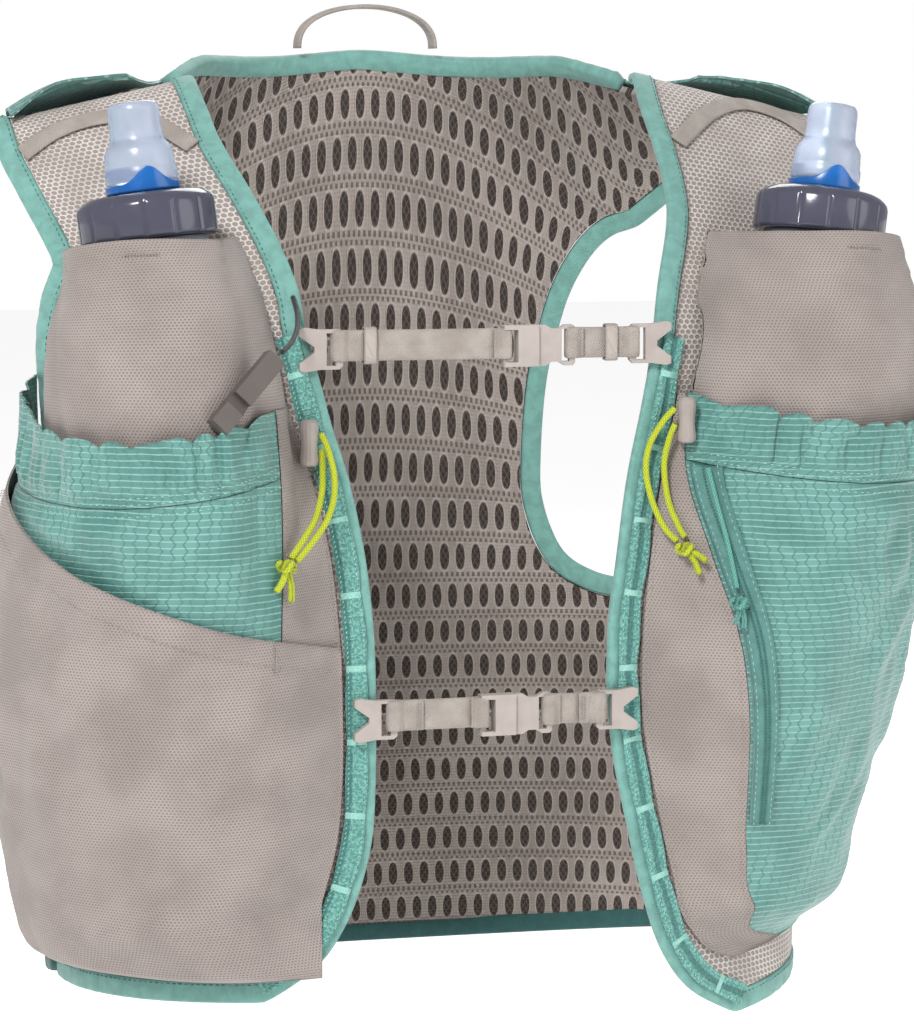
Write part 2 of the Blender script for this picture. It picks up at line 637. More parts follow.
def rail_look():
    look = Look("rail")
    u, v = look.uv()
    speck = look.noise(1.1, 3, (u, v), 0.8)
    cross = from_middle(v / 1.1) * 2.0
    groove = (u - 1.5).abs().ramp(1.6, 0.5)
    base = look.mix(speck.ramp(0.42, 0.62), (84, 140, 132), (124, 180, 170))
    tint = look.mix(groove * 0.7, base, (50, 104, 100))
    height = speck + cross * 0.3 + groove * -1.2
    return look.finish(tint, 0.75, height, 0.8, 0.9, Sheen_Weight=0.15, Specular_IOR_Level=0.3)


def webbing_look():
    look = Look("webbing")
    u, v = look.uv()
    chevron = from_middle(v / 1.15 + u.abs() * 0.8) * 2.0
    cloud = look.noise(12, 3, (u, v))
    base = look.mottle(cloud, (154, 145, 138), (174, 165, 158))
    tint = look.mix(chevron.ramp(0.75, 1.0) * 0.3, base, (126, 115, 108))
    return look.finish(tint, 0.75, chevron * -1.0 + 1.0, 0.3, 0.8, Sheen_Weight=0.1, Specular_IOR_Level=0.3)


def plastic_look(name, tone, rough=0.4, grain=0.4):
    look = Look(name)
    fine = look.noise(0.5, 2)
    broad = look.noise(7, 3)
    base = look.mottle(broad, darker(tone, 0.95), tone)
    gloss = broad.ramp(0.3, 0.7, rough - 0.05, rough + 0.07)
    return look.finish(base, gloss, fine, 0.06, grain, Specular_IOR_Level=0.5)


def clear_look(name, tone, rough, transmission, ior=1.42):
    look = Look(name)
    broad = look.noise(6, 2)
    base = look.mottle(broad, darker(tone, 0.97), tone)
    return look.finish(base, rough, broad, 0.2, 0.3, Transmission_Weight=transmission, IOR=ior)


def cord_look(name, light, shade):
    look = Look(name)
    u, v = look.uv()
    braid = (from_middle(u / 1.3 + v / 1.5) * 2.0).min(from_middle(u / 1.3 - v / 1.5) * 2.0)
    tint = look.mix(braid.ramp(0.0, 0.5), shade, light)
    return look.finish(tint, 0.6, braid, 0.3, 0.9, Sheen_Weight=0.2, Specular_IOR_Level=0.35)


def thread_look(name, tone):
    look = Look(name)
    fine = look.noise(0.4, 2)
    base = look.mottle(fine, darker(tone, 0.85), tone)
    return look.finish(base, 0.6, fine, 0.1, 0.5)


LOOKS = {
    "stretch_mesh": stretch_look(),
    "shoulder_mesh": hex_look(),
    "spacer_mesh": spacer_look(),
    "ripstop": ripstop_look(),
    "binding": binding_look(),
    "binding_dark": binding_look("hem_binding_cloth", (38, 88, 86)),
    "rail": rail_look(),
    "webbing": webbing_look(),
    "plastic": plastic_look("plastic", (172, 162, 156)),
    "cord_lock": plastic_look("cord_lock_plastic", (160, 150, 144)),
    "whistle": plastic_look("whistle_plastic", (92, 85, 81), 0.4),
    "flask_cap": clear_look("cap_plastic", (88, 88, 106), 0.16, 0.3, 1.5),
    "valve_lock": plastic_look("lock_plastic", (22, 100, 178), 0.25, 0.1),
    "bite_valve": clear_look("valve_silicone", (216, 228, 248), 0.25, 0.7),
    "flask_film": clear_look("flask_film", (222, 228, 236), 0.25, 0.5),
    "draw_cord": cord_look("draw_cord_braid", (202, 212, 40), (146, 158, 18)),
    "lanyard": cord_look("lanyard_braid", (44, 42, 42), (20, 19, 19)),
    "zip_cord": cord_look("zip_cord_braid", (110, 178, 166), (58, 124, 114)),
    "zip": binding_look("zip_tape", (88, 136, 130)),
    "thread_light": thread_look("thread_light", (176, 166, 160)),
    "thread_teal": thread_look("thread_teal", (160, 216, 204)),
    "thread_dark": thread_look("thread_dark", (66, 128, 120)),
}

# Camera at the photograph's angle and distance from the vest's middle.
AZIMUTH, ELEVATION, DISTANCE, MIDDLE_Z = math.radians(-15.2), math.radians(6.0), 1.65, -0.17
camera = bpy.data.objects.new("camera", bpy.data.cameras.new("camera"))
bpy.context.scene.collection.objects.link(camera)
level = math.cos(ELEVATION)
away = Vector((math.sin(AZIMUTH) * level, -math.cos(AZIMUTH) * level, math.sin(ELEVATION)))
camera.location = Vector((0, 0, MIDDLE_Z)) + away * DISTANCE
camera.rotation_euler = away.to_track_quat("Z", "Y").to_euler()
camera.data.lens = 139.7
camera.data.sensor_width = 36
camera.data.shift_x = 0.0317
camera.data.clip_end = 20
bpy.context.scene.camera = camera

# Draw cords, lanyard and zip pull: the same points as their solids.
CORDS = {
    "draw_cord_r1": [
        (-70.8, -109.5, -126.9), (-68.7, -112.0, -132.9), (-67.0, -114.5, -141.9), (-67.9, -118.0, -150.4),
        (-71.7, -122.5, -158.7), (-78.7, -127.0, -166.8), (-85.5, -130.4, -173.2),
    ],
    "draw_cord_r2": [
        (-70.4, -109.3, -133.1), (-70.6, -111.0, -140.6), (-71.7, -114.5, -148.7),
        (-75.6, -120.5, -158.0), (-81.7, -126.5, -165.2), (-87.8, -130.8, -171.9),
    ],
    "draw_cord_l1": [
        (70.9, -113.0, -119.6), (66.9, -111.5, -124.3), (61.8, -109.5, -133.8), (60.2, -109.5, -144.0),
        (62.4, -110.5, -155.8), (66.5, -113.5, -166.2), (70.7, -117.0, -171.5),
    ],
    "draw_cord_l2": [
        (70.9, -113.0, -125.9), (69.1, -111.0, -132.3), (67.6, -109.8, -142.2),
        (68.7, -111.7, -155.8), (71.6, -115.5, -165.4), (73.6, -118.0, -169.9),
    ],
    "whistle_cord": [
        (-77.6, -92.2, -75.3), (-78.1, -101.0, -80.9), (-81.0, -113.0, -86.3),
        (-86.4, -126.0, -90.8), (-92.1, -135.5, -93.5),
    ],
    "zip_pull_cord": [
        (81.9, -121.0, -142.7), (83.9, -125.0, -154.9), (87.6, -129.0, -172.3), (90.0, -133.0, -188.8),
    ],
}
# Each knot: middle, ends of its two tails, thread radius, finish.
KNOTS = {
    "cord_knot_r": ((-89.6, -131.8, -175.0), ((-94.3, -133.6, -184.2), (-87.8, -130.5, -188.6)), 1.25, "draw_cord"),
    "cord_knot_l": ((73.6, -119.3, -174.5), ((79.2, -127.0, -178.5), (77.1, -125.0, -183.8)), 1.25, "draw_cord"),
    "zip_pull_knot": ((90.5, -135.1, -194.4), ((88.1, -135.3, -202.5), (92.0, -135.8, -204.2)), 1.0, "zip_cord"),
}
# Each cord: finish, radius, what its far end holds, the knot that moves with it.
CORD_USES = {
    "draw_cord_r1": ("draw_cord", 1.25, "knot", ["cord_knot_r_tied"]),
    "draw_cord_r2": ("draw_cord", 1.25, "knot", []),
    "draw_cord_l1": ("draw_cord", 1.25, "knot", ["cord_knot_l_tied"]),
    "draw_cord_l2": ("draw_cord", 1.25, "knot", []),
    "whistle_cord": ("lanyard", 1.0, "object", []),
    "zip_pull_cord": ("zip_cord", 1.0, "knot", ["zip_pull_knot_tied"]),
}

KNOT_SIZE = 1.12
for name, (centre, tails, radius, look) in KNOTS.items():
    t = np.linspace(0, 2 * math.pi, 61)[:-4]
    ring = np.stack([np.sin(t) + 2 * np.sin(2 * t), np.cos(t) - 2 * np.cos(2 * t), -1.3 * np.sin(3 * t)], axis=-1)
    parts = [tube_mesh(ring * KNOT_SIZE + centre, radius * 0.95, 12)]
    for tail in tails:
        route = np.asarray(centre) + np.linspace(0.1, 1, 10)[:, None] * (np.asarray(tail) - centre)
        route[:, 0] += np.sin(np.linspace(0, math.pi, 10)) * 0.8
        parts.append(tube_mesh(route, radius * np.concatenate([np.ones(8), [1.06, 0.9]]), 12))
    verts, faces, uv = join_parts(parts)
    mesh_object(name + "_tied", verts, faces, look, name, uv)

for name, points in CORDS.items():
    look, radius, far_end, pieces = CORD_USES[name]
    verts, faces, uv = tube_mesh(spline(points, np.linspace(0, 1, 61)), radius, 14)
    cord = mesh_object(name + "_braid", verts, faces, look, name, uv)
    path = spline(points, np.linspace(0, 1, 25))
    length = np.linalg.norm(np.diff(path, axis=0), axis=1).sum() * 1e-3


# Edges of the fronts and the back.
def edge(tag, first, t):
    spots = spline([row[first:first + 2] for row in FRONT[tag]], t)
    return np.minimum(spots[:, 0], SIDE_LIMIT), spots[:, 1]


BACK_TABLE = np.array(BACK)


def back_row(t, lap=0.0, columns=120):
    """Girths and runs of the back's row at a share t of its height."""
    centre, rim, rim_run, settle = spline(BACK_TABLE, [t])[0]
    share = np.abs(np.linspace(-1, 1, columns + 1))
    fall = np.maximum(0, 1 - (share / settle) ** 2.6) ** 1.15
    run = rim_run + (centre - rim_run) * fall
    run = run + lap * smooth((min(rim, SIDE_LIMIT) * share - 0.44) / 0.44)
    girth = np.sign(np.linspace(-1, 1, columns + 1)) * np.minimum(rim * share, SIDE_LIMIT)
    return girth, run


def shell_off(g, r):
    crown = np.maximum(0, 1 - np.abs(r) / 0.1)
    middle = np.sin(np.pi * np.clip((np.abs(g) - 0.42) / 0.4, 0, 1))
    return BACK_WALL + GAP + np.where(r > -0.024, LAYER, 0) + 6 * crown * middle


back_g, back_r = (np.array(a) for a in zip(*[back_row(t) for t in np.linspace(0, 1, 170)]))
inner = cloth_point(back_g, back_r, np.zeros_like(back_g))
plan = cloth_uv(inner, back_r)
dent = noise(plan[:, 0], plan[:, 1], 46, 5) * 1.3 + noise(plan[:, 0], plan[:, 1], 17, 6) * 0.5
dent = -np.abs(dent).reshape(back_g.shape)
inner = cloth_point(back_g, back_r, dent)
outer = cloth_point(back_g, back_r, dent + BACK_WALL)
panel = wall("back_mesh", inner, outer, "spacer_mesh", "back_panel", plan)
declare_sheet(inner)

lap_rows = [back_row(0, lap) for lap in np.linspace(0.05, 0, 9)[:-1]]
rows = lap_rows + [back_row(t) for t in np.linspace(0, 1, 130)]
shell_g, shell_r = (np.array(a) for a in zip(*rows))
flat = cloth_point(shell_g, shell_r, np.zeros_like(shell_g))
plan = cloth_uv(flat, shell_r)
wave = np.abs(folds(plan[:, 0], plan[:, 1], 24, 11)).reshape(shell_g.shape) * 1.3
base = shell_off(shell_g, shell_r)
outer = cloth_point(shell_g, shell_r, base + wave + SHELL_WALL)
shell = wall("back_skin", cloth_point(shell_g, shell_r, base + wave), outer, "ripstop", "back_shell", plan)
declare_sheet(outer)

for tag, side in SIDES:
    v = np.linspace(0, 1, 150)
    (g0, r0), (g1, r1) = edge(tag, 0, v), edge(tag, 2, v)
    u = np.linspace(0, 1, 44)
    g = side * (g0[:, None] + (g1 - g0)[:, None] * u)
    r = r0[:, None] + (r1 - r0)[:, None] * u
    inner = cloth_point(g, r, np.zeros_like(g))
    outer = cloth_point(g, r, np.full_like(g, FRONT_WALL))
    plan = cloth_uv(outer, r)
    front = wall(f"front_mesh_{tag}", inner, outer, "shoulder_mesh", f"front_panel_{tag}", plan)
    declare_sheet(inner)


# Tapes along edges. near and width are measured outwards from the edge on the given side.
def edge_tape(name, g, r, side, near, width, low, high, look, slot, node, pucker=0.25, sections=12, squeeze=1.0):
    path = torso_point(g, r)
    up = torso_normal(g, r)
    start = near if side > 0 else -(near + width)
    run = arc_lengths(path)
    high = high + pucker * noise(run, run * 0, 4.0, 21) + pucker * 0.6 * np.abs(np.sin(run * math.pi / 3.0))
    ribbon(name, path, up, width, low, high, look, node, slot, sections, near=start, squeeze=squeeze)


def edge_line(g, r, side, out, off):
    """Path beside an edge, with its normals."""
    path = torso_point(g, r)
    up = torso_normal(g, r)
    _, across, over = frames_along(path, up)
    return path + across * side * out + over * np.asarray(off)[..., None], over


def binding_span(r):
    return np.where(r < -0.024, BACK_WALL + GAP + SHELL_WALL, FRONT_WALL) + PROUD


# How far the neck and hem tapes reach over the back's edge.
LAP = 1.2


def bound_edge(name, g, r, side, near, look="binding"):
    g, r = np.asarray(g), np.asarray(r)
    high = binding_span(r)
    edge_tape(name + "_tape", g, r, side, near, BIND_W, -PROUD, high, look, "binding", name)
    line, up = edge_line(g, r, side, near + 1.5, high + 0.1)
    dark_stitches.append(stitch_parts(line, up, 2.6, 2.0, 0.3))


for tag, side in SIDES:
    g, r = edge(tag, 0, np.linspace(0, 1, 220))
    last = FRONT[tag][-1]
    t = np.linspace(0, 1, 70)[1:]
    g = np.concatenate([g, last[0] + (last[2] - last[0]) * t])
    r = np.concatenate([r, last[1] + (last[3] - last[1]) * t])
    bound_edge(f"front_binding_{tag}", side * np.minimum(g, 0.99), r, side, GAP)

neck_g, neck_r = back_row(0, 0, 240)
keep = np.abs(neck_g) < 0.42
bound_edge("neck_binding", neck_g[keep], neck_r[keep], 1, -LAP)
hem_g, hem_r = back_row(1, 0, 240)
bound_edge("hem_binding", np.clip(hem_g, -0.99, 0.99), hem_r, -1, -LAP, "binding_dark")
for tag, side in SIDES:
    g, r = edge(tag, 2, np.linspace(0, 1, 400))
    keep = r < 0.643
    back = BACK_TABLE[:15, [1, 2]]
    rim = spline(back, np.linspace(0, 1, 260))[::-1]
    g = side * np.minimum(g[keep], SIDE_LIMIT)
    rim_g = side * np.minimum(rim[:, 0], SIDE_LIMIT)
    order_g = np.concatenate([rim_g, g])
    order_r = np.concatenate([rim[:, 1], r[keep]])
    seen = np.concatenate([[True], np.hypot(np.diff(order_g), np.diff(order_r)) > 1e-4])
    bound_edge(f"armhole_binding_{tag}", order_g[seen], order_r[seen], -side, GAP)

# Rails: daisy-chain tape, tacked down every 29 mm.
RAIL_SEAT = FRONT_WALL + PROUD + GAP
TACK, FIRST_TACK, TACK_ROWS, TACK_STEP, TACK_HALF = 29.0, 14, 7, 0.34, 3.9
tacks = []
for tag, side in SIDES:
    g, r = edge(tag, 0, np.linspace(7 / 19, 1, 420))
    g = side * g
    path = torso_point(g, r)
    run = arc_lengths(path)
    arch = np.abs(np.sin(np.pi * (run - FIRST_TACK) / TACK)) ** 0.7
    low, high = RAIL_SEAT + 0.4 * arch, RAIL_SEAT + RAIL_T * (0.85 + 1.1 * arch)
    edge_tape(f"rail_{tag}", g, r, side, -RAIL_LAP, RAIL_W, low, high, "rail", "rail", f"adjust_rail_{tag}", 0.2,
              16, 0.84 + 0.16 * arch)
    for out in (-RAIL_LAP + 1.3, RAIL_W - RAIL_LAP - 1.3):
        line, up = edge_line(g, r, side, out, high + 0.08)
        teal_stitches.append(stitch_parts(line, up, 2.0, 1.7, 0.3, 0.6))
    for at in np.arange(FIRST_TACK, run[-1] - 8, TACK):
        i = int(np.searchsorted(run, at))
        centre, up = edge_line(g[i - 2:i + 3], r[i - 2:i + 3], side, RAIL_W / 2 - RAIL_LAP, [RAIL_SEAT + RAIL_T] * 5)
        tangent, across, over = (a[2] for a in frames_along(centre, up))
        for j in range(TACK_ROWS):
            spot = centre[2] + tangent * (j - TACK_ROWS // 2) * TACK_STEP
            ends = np.stack([spot - across * TACK_HALF, spot + across * TACK_HALF])
            tacks.append(tube_mesh(ends + over * 0.05, 0.26, 6, over))
verts, faces, uv = join_parts(tacks)
mesh_object("rail_tacks", verts, faces, "thread_teal", None, uv, "rail")


# Flasks, caps and valves.
FLASK_ROWS, FLASK_COLUMNS = 50, 48
FLASK_NECK = ((22.0, 0.0), (22.4, -2.0))
CAP_TILT, FLUTES = -6, 14


def flask_columns(run):
    return [cubic(FLASK[:, 0], FLASK[:, k], run) for k in (1, 2)]


def flask_centre(share):
    return FRONT_WALL + GAP * 3 + FLASK_T / 2 * (1 - (1 - share) * 0.75)


def cap_frame(tag, side):
    spot = pocket_point(side * FLASK_G[tag], NECK_RUN, FRONT_WALL + LAYER + CAP_R)
    lean = Matrix.Rotation(side * math.radians(FLASK_LEAN[tag]), 4, "Y")
    return Matrix.Translation(Vector(spot.tolist())) @ Matrix.Rotation(math.radians(CAP_TILT), 4, "X") @ lean


def turned(profile, segments, radius=lambda turn, r, z: r):
    """Closed solid turned about Z, as vertices and faces."""
    turn = full_turn(segments)
    rings = []
    for r, z in profile:
        rr = radius(turn, r, z)
        rings.append(np.stack([rr * np.cos(turn), rr * np.sin(turn), np.full(segments, z)], axis=-1))
    return np.concatenate(rings), tube_faces(len(profile), segments, True)


def grip(turn, r, z):
    """Radius of the cap, with its grooves."""
    return r - (0.8 * (0.5 + 0.5 * np.cos(FLUTES * turn)) ** 24 if 1.5 < z < 14 else 0)


def placed(matrix, verts):
    m = np.array(matrix)
    return verts @ m[:3, :3].T + m[:3, 3]


def hard_part(name, spot, verts, faces, look, node):
    mesh_object(name, placed(spot, verts), faces, look, node)


for tag, side in SIDES:
    spot = cap_frame(tag, side)
    runs = np.linspace(FLASK[0, 0], FLASK[-1, 0], FLASK_ROWS)
    half, share = flask_columns(runs)
    across, out = blunt(full_turn(FLASK_COLUMNS), 0.85)
    g = side * (FLASK_G[tag] + half[:, None] * across)
    off = flask_centre(share)[:, None] + FLASK_T / 2 * share[:, None] * out
    body = pocket_point(g, np.repeat(runs[:, None], FLASK_COLUMNS, axis=1), off)
    local = placed(spot.inverted(), body[0])
    neck = [placed(spot, unit(local * [1, 1, 0]) * radius + [0, 0, z]) for radius, z in FLASK_NECK]
    verts = np.concatenate([neck[0], neck[1], body.reshape(-1, 3)])
    faces = tube_faces(FLASK_ROWS + len(neck), FLASK_COLUMNS)
    mesh_object(f"flask_{tag}", verts, faces, "flask_film", f"flask_body_{tag}")

    fluted = [
        (CAP_R - 1.2, 0.4), (CAP_R - 0.3, 1.0), (CAP_R, 2.0), (CAP_R, 13.2), (CAP_R - 0.5, 14.8),
        (CAP_R - 1.6, 16.0), (CAP_R - 3.2, 17.2), (CAP_R - 5.0, CAP_H), (15.6, CAP_H),
        (15.2, CAP_H + 0.4), (14.4, CAP_H + 0.5),
    ]
    verts, faces = turned(fluted, 288, grip)
    hard_part(f"cap_{tag}", spot, verts, faces, "flask_cap", f"flask_cap_{tag}")
    foot = CAP_H + GAP * 2
    lock = [
        (12.8, foot), (14.3, foot + 0.4), (14.35, foot + 1.2), (14.35, foot + 2.8), (14.25, foot + 3.2),
        (14.05, foot + 3.2), (13.0, foot + 3.3),
    ]
    verts, faces = turned(lock, 144)
    turn = np.arctan2(verts[:, 1], verts[:, 0])
    crest = sum(np.exp(-((np.abs(turn - middle) / 0.42) ** 2)) for middle in (-math.pi / 2, math.pi / 2))
    crested = (verts[:, 2] > foot + 2) & (np.hypot(verts[:, 0], verts[:, 1]) > 13.5)
    verts[:, 2] += np.where(crested, 6.2 * crest, 0)
    hard_part(f"lock_{tag}", spot, verts, faces, "valve_lock", f"valve_base_{tag}")
    base = foot + 3.5 + GAP
    valve = [
        (12.6, base), (13.7, base + 0.4), (VALVE_R, base + 1.4), (13.9, base + 5.0), (13.4, base + 6.0),
        (13.5, base + 6.8), (13.1, base + 12.2), (12.2, base + 14.0), (10.9, base + 15.6), (10.3, base + 17.4),
        (MOUTH_R, base + 21.0), (MOUTH_R, base + 27.6), (9.7, base + 29.4), (8.9, base + 30.6), (7.4, base + VALVE_H),
        (3.2, base + VALVE_H - 0.2), (2.6, base + VALVE_H - 0.9), (0.4, base + VALVE_H - 1.1),
    ]
    hard_part(f"valve_{tag}", spot, *turned(valve, 72), "bite_valve", f"bite_valve_{tag}")


# Sleeves and pockets.
def soft_max(a, b):
    return (np.maximum(a, 0) ** 8 + np.maximum(b, 0) ** 8) ** (1 / 8)


def smooth_at(table, key, column, run):
    return cubic(table[:, key], table[:, column], run)


def flask_off(tag, g, run):
    half, share = flask_columns(run)
    u = np.abs(g - FLASK_G[tag]) / half
    inside = (u < 1) & (run <= FLASK[-1, 0])
    lift = np.maximum(0, 1 - np.minimum(1, u) ** 2.35) ** 0.425
    return np.where(inside, flask_centre(share) + FLASK_T / 2 * share * lift, 0)


SLEEVE_SEAT = FRONT_WALL + GAP * 2
SLEEVE_RISE, SLEEVE_CLEAR, SLEEVE_HEM, HEM_FOLD = 54, 3.2, 17.0, 0.7


def sleeve_off(tag, g, run):
    table = SLEEVE[tag]
    foot = table[-1, 1]
    lo, hi = smooth_at(table, 1, 0, run), smooth_at(table, 1, 2, run)
    u = (g - lo) / (hi - lo)
    inside = (u > 0) & (u < 1) & (run <= foot)
    end = 1 - np.maximum(0, (run - foot * 0.8) / (foot * 0.2)) ** 2
    across = np.sqrt(np.maximum(0, 1 - (2 * np.clip(u, 0, 1) - 1) ** 2))
    own = SLEEVE_SEAT + SLEEVE_RISE * across * end * (1 - 0.25 * smooth((run - 0.3) / 0.4))
    flask = flask_off(tag, g, run)
    return np.where(inside, soft_max(own, np.where(flask > 0, flask + SLEEVE_CLEAR, 0)), SLEEVE_SEAT)


def sleeve_grid(tag, v, u):
    table = SLEEVE[tag]
    a, b = spline(table[:, 0:2], v), spline(table[:, 2:4], v)
    g = a[:, :1] + (b[:, :1] - a[:, :1]) * u
    bow = -0.012 * np.sin(np.pi * u)[None, :] * ((1 - v) ** 2)[:, None]
    return g, a[:, 1:] + (b[:, 1:] - a[:, 1:]) * u + bow


for tag, side in SIDES:
    v = np.concatenate([np.linspace(0, 0.02, 3), np.linspace(0.045, 1, 66)])
    u = eased(73)
    g, r = sleeve_grid(tag, v, u)
    off = sleeve_off(tag, g, r)
    plan = cloth_uv(pocket_point(side * g, r, off))
    x, y = plan[:, 0].reshape(g.shape), plan[:, 1].reshape(g.shape)
    ends = np.sin(np.pi * u)[None, :] ** 0.7
    creases = np.abs(folds(x * 0.5, y * 1.6, 30, 31 + int(side))) * 1.2
    ripple = (creases + 0.8 * np.maximum(0, noise(x * 0.3, y, 14, 35))) * ends
    hem = HEM_FOLD * (1 - smooth((y - SLEEVE_HEM) / 1.6))
    off = off + ripple
    inner, outer = pocket_point(side * g, r, off), pocket_point(side * g, r, off + POCKET_WALL + hem)
    sleeve = wall(f"sleeve_{tag}", inner, outer, "stretch_mesh", f"flask_sleeve_{tag}", plan)
    declare_sheet(outer)
    normals = torso_normal(side * g, r)
    row = int(np.argmax(y[:, 36] > 7.0))
    for lift in (-0.7, 0.0, 0.7):
        sew(light_stitches, outer[row, 29:37] + [0, 0, lift], normals[row, 29:37], 0.2, 1.2, 1.9, 0.33, 0.9)
    for column in (2, -3):
        sew(light_stitches, outer[:60, column], normals[:60, column], 0.2, *SIDE_STITCH)

POCKET_SEAT = FRONT_WALL + PROUD + GAP * 2
POCKET_RISE, FOOT_SHARE, OVER_FOOT_SHARE = 50, 0.06, 0.025


def pocket_off(tag, g, run):
    table = POCKET[tag]
    lo, hi = smooth_at(table, 1, 0, run), smooth_at(table, 5, 4, run)
    below = smooth((run - 0.4) / 0.13) if tag == "r" else np.ones_like(run)
    crest = 0.5 + 0.06 * below
    rise = np.sin(np.pi / 2 * np.clip((g - lo) / 0.24, 0, 1)) ** 1.1
    fall = np.cos(np.pi / 2 * np.clip((g - crest) / (hi - crest), 0, 1))
    bulge = smooth_at(BULGE[tag], 0, 1, run)
    own = POCKET_RISE * bulge * rise * np.maximum(fall, 0) ** (1 - 0.4 * below)
    sleeve = sleeve_off(tag, g, run)
    return soft_max(POCKET_SEAT + own, np.where(sleeve > SLEEVE_SEAT, sleeve + POCKET_WALL + LAYER, 0))


def arc_run(runs, u, lower=0.0):
    start, middle, end = runs
    return start * (1 - u) + end * u + (middle - (start + end) / 2) * 4 * u * (1 - u) + lower


def foot_fall(run, foot, share):
    return 1 - smooth((run - foot * (1 - share)) / (foot * share)) ** 2


POCKET_RUNS = {
    "r": {"mouth": (0.392, 0.414, 0.362), "seam": (0.452, 0.474, 0.452), "foot": (0.85, 0.85), "heel": 0.85},
    "l": {"mouth": (0.385, 0.412, 0.362), "seam": (0.447, 0.468, 0.447), "foot": (0.922, 0.912), "heel": 0.932},
}
JOIN = GAP / 2 / Q_LEN
OVER_MOUTH, OVER_FOOT, OVER_JOIN = (0.612, 0.546, 0.432), (0.919, 0.929), 0.15
GATHERS, GATHER_DEPTH = 7, 2.6


def wall_off(tag, g, run):
    foot = POCKET_RUNS[tag]["foot"][0]
    return POCKET_SEAT + (pocket_off(tag, g, run) - POCKET_SEAT) * foot_fall(run, foot, FOOT_SHARE)


def face_girth(tag, run, u):
    table = POCKET[tag]
    join, outer = smooth_at(table, 3, 2, run), smooth_at(table, 5, 4, run)
    return join + JOIN + (outer - join - JOIN) * u


def pocket_wall(name, tag, side, g, run, off, look, node, ripple=None):
    g = np.minimum(g, SIDE_LIMIT)
    plan = cloth_uv(pocket_point(side * g, run, off), run)
    if ripple is not None:
        x, y = plan[:, 0].reshape(g.shape), plan[:, 1].reshape(g.shape)
        off = off + ripple(x, y)
    inner, outer = pocket_point(side * g, run, off), pocket_point(side * g, run, off + POCKET_WALL)
    obj = wall(name, inner, outer, look, node, plan)
    declare_sheet(outer)
    return outer, torso_normal(side * g, run), plan.reshape(*g.shape, 2)


def strip_ripple(x, y):
    return np.abs(folds(x, y * 1.2, 22, 61)) * 0.4


def row_stitches(target, outer, normals, row, pitch=2.9):
    sew(target, outer[row, 2:-2], normals[row, 2:-2], 0.15, pitch, 2.0, 0.3)


for tag, side in SIDES:
    spots = POCKET_RUNS[tag]
    u = np.linspace(0, 1, 180)[None, :]
    v = np.linspace(0, 1, 20)[:, None]
    top, low = arc_run(spots["mouth"], u), arc_run(spots["seam"], u)
    run = top + (low - top) * v
    g = face_girth(tag, run, np.broadcast_to(u, run.shape))
    phase = GATHERS * 1.6 * u + 0.8 * noise(u * 100, u * 0, 15, 41 + int(side))
    phase = phase + 0.25 * noise(u * 100, v * 20, 12, 43)
    crowd = 0.8 + 0.6 * noise(u * 100, u * 0, 9, 45)
    wave = 1 - np.abs(np.sin(np.pi * phase)) ** 0.7
    fine = np.abs(np.sin(2 * np.pi * phase * 1.7 + 5 * noise(u * 100, v * 20, 14, 47))) * 1.1
    sewn = 1 - smooth((v - 0.72) / 0.28)
    held = smooth((1 - u) / 0.1) * smooth(u / 0.05)
    off = pocket_off(tag, g, run) + ((1 - wave) * GATHER_DEPTH * 1.7 * crowd + fine) * sewn * held
    run = run + (wave * 0.008 - 0.003) * (1 - v) ** 2 * held
    outer, normals, _ = pocket_wall(f"band_{tag}", tag, side, g, run, off, "ripstop",
                                    f"gathered_band_{tag}")
    row_stitches(teal_stitches, outer, normals, -2, 3.0)
    row_stitches(teal_stitches, outer, normals, -4, 3.0)

    v = np.linspace(0, 1, 110)[:, None]
    u = eased(91)[None, :]
    top = arc_run(spots["seam"], u, GAP / DRAPE)
    low = spots["foot"][0] * (1 - u) + spots["foot"][1] * u
    run = top + (low - top) * v
    g = face_girth(tag, run, np.broadcast_to(u, run.shape))
    off = wall_off(tag, g, run)
    fade = np.sin(np.pi * np.clip(u, 0, 1)) ** 0.5 * np.minimum(1, (1 - v) * 12) * smooth(v * 14)
    if tag == "l":
        fade = fade * (0.15 + 0.85 * smooth((u - 0.08) / 0.14))
    # Share of the face that lies flat under the outer pocket.
    covered = np.zeros_like(run)
    if tag == "r":
        covered = smooth((run - arc_run(OVER_MOUTH, OVER_JOIN + (1 - OVER_JOIN) * u) + 0.035) / 0.03)

    def crease(x, y, fade=fade, covered=covered):
        drop = y - y.min()
        pull = np.abs(noise(x * 1.5, y * 0.5, 11, 51)) * 6.0 * np.exp(-drop / 34)
        sag = np.abs(folds(x * 0.8, y * 0.7 + x * 0.3, 27, 55)) * 4.5
        small = np.abs(folds(x, y, 9, 57)) * 0.5
        return np.minimum(0.7 * covered + 6.0 * (1 - covered), (pull + sag + small) * fade)

    outer, normals, _ = pocket_wall(f"pocket_{tag}", tag, side, g, run, off, "ripstop",
                                    f"ripstop_panel_{tag}", crease)
    row_stitches(teal_stitches, outer, normals, 2, 3.0)

    v = np.linspace(0, 1, 130)[:, None]
    u = np.linspace(0, 1, 30)[None, :]
    top = spots["mouth"][0] + 0 * u
    low = spots["heel"] * (1 - u) + spots["foot"][0] * u
    run = top + (low - top) * v
    table = POCKET[tag]
    rail, join = smooth_at(table, 1, 0, run), smooth_at(table, 3, 2, run)
    g = rail + (join - JOIN - rail) * u
    off = wall_off(tag, g, run)
    outer, normals, _ = pocket_wall(f"side_{tag}", tag, side, g, run, off, "stretch_mesh",
                                    f"stretch_side_{tag}", strip_ripple)
    for column in (2, -3):
        sew(light_stitches, outer[:, column], normals[:, column], 0.2, *SIDE_STITCH)

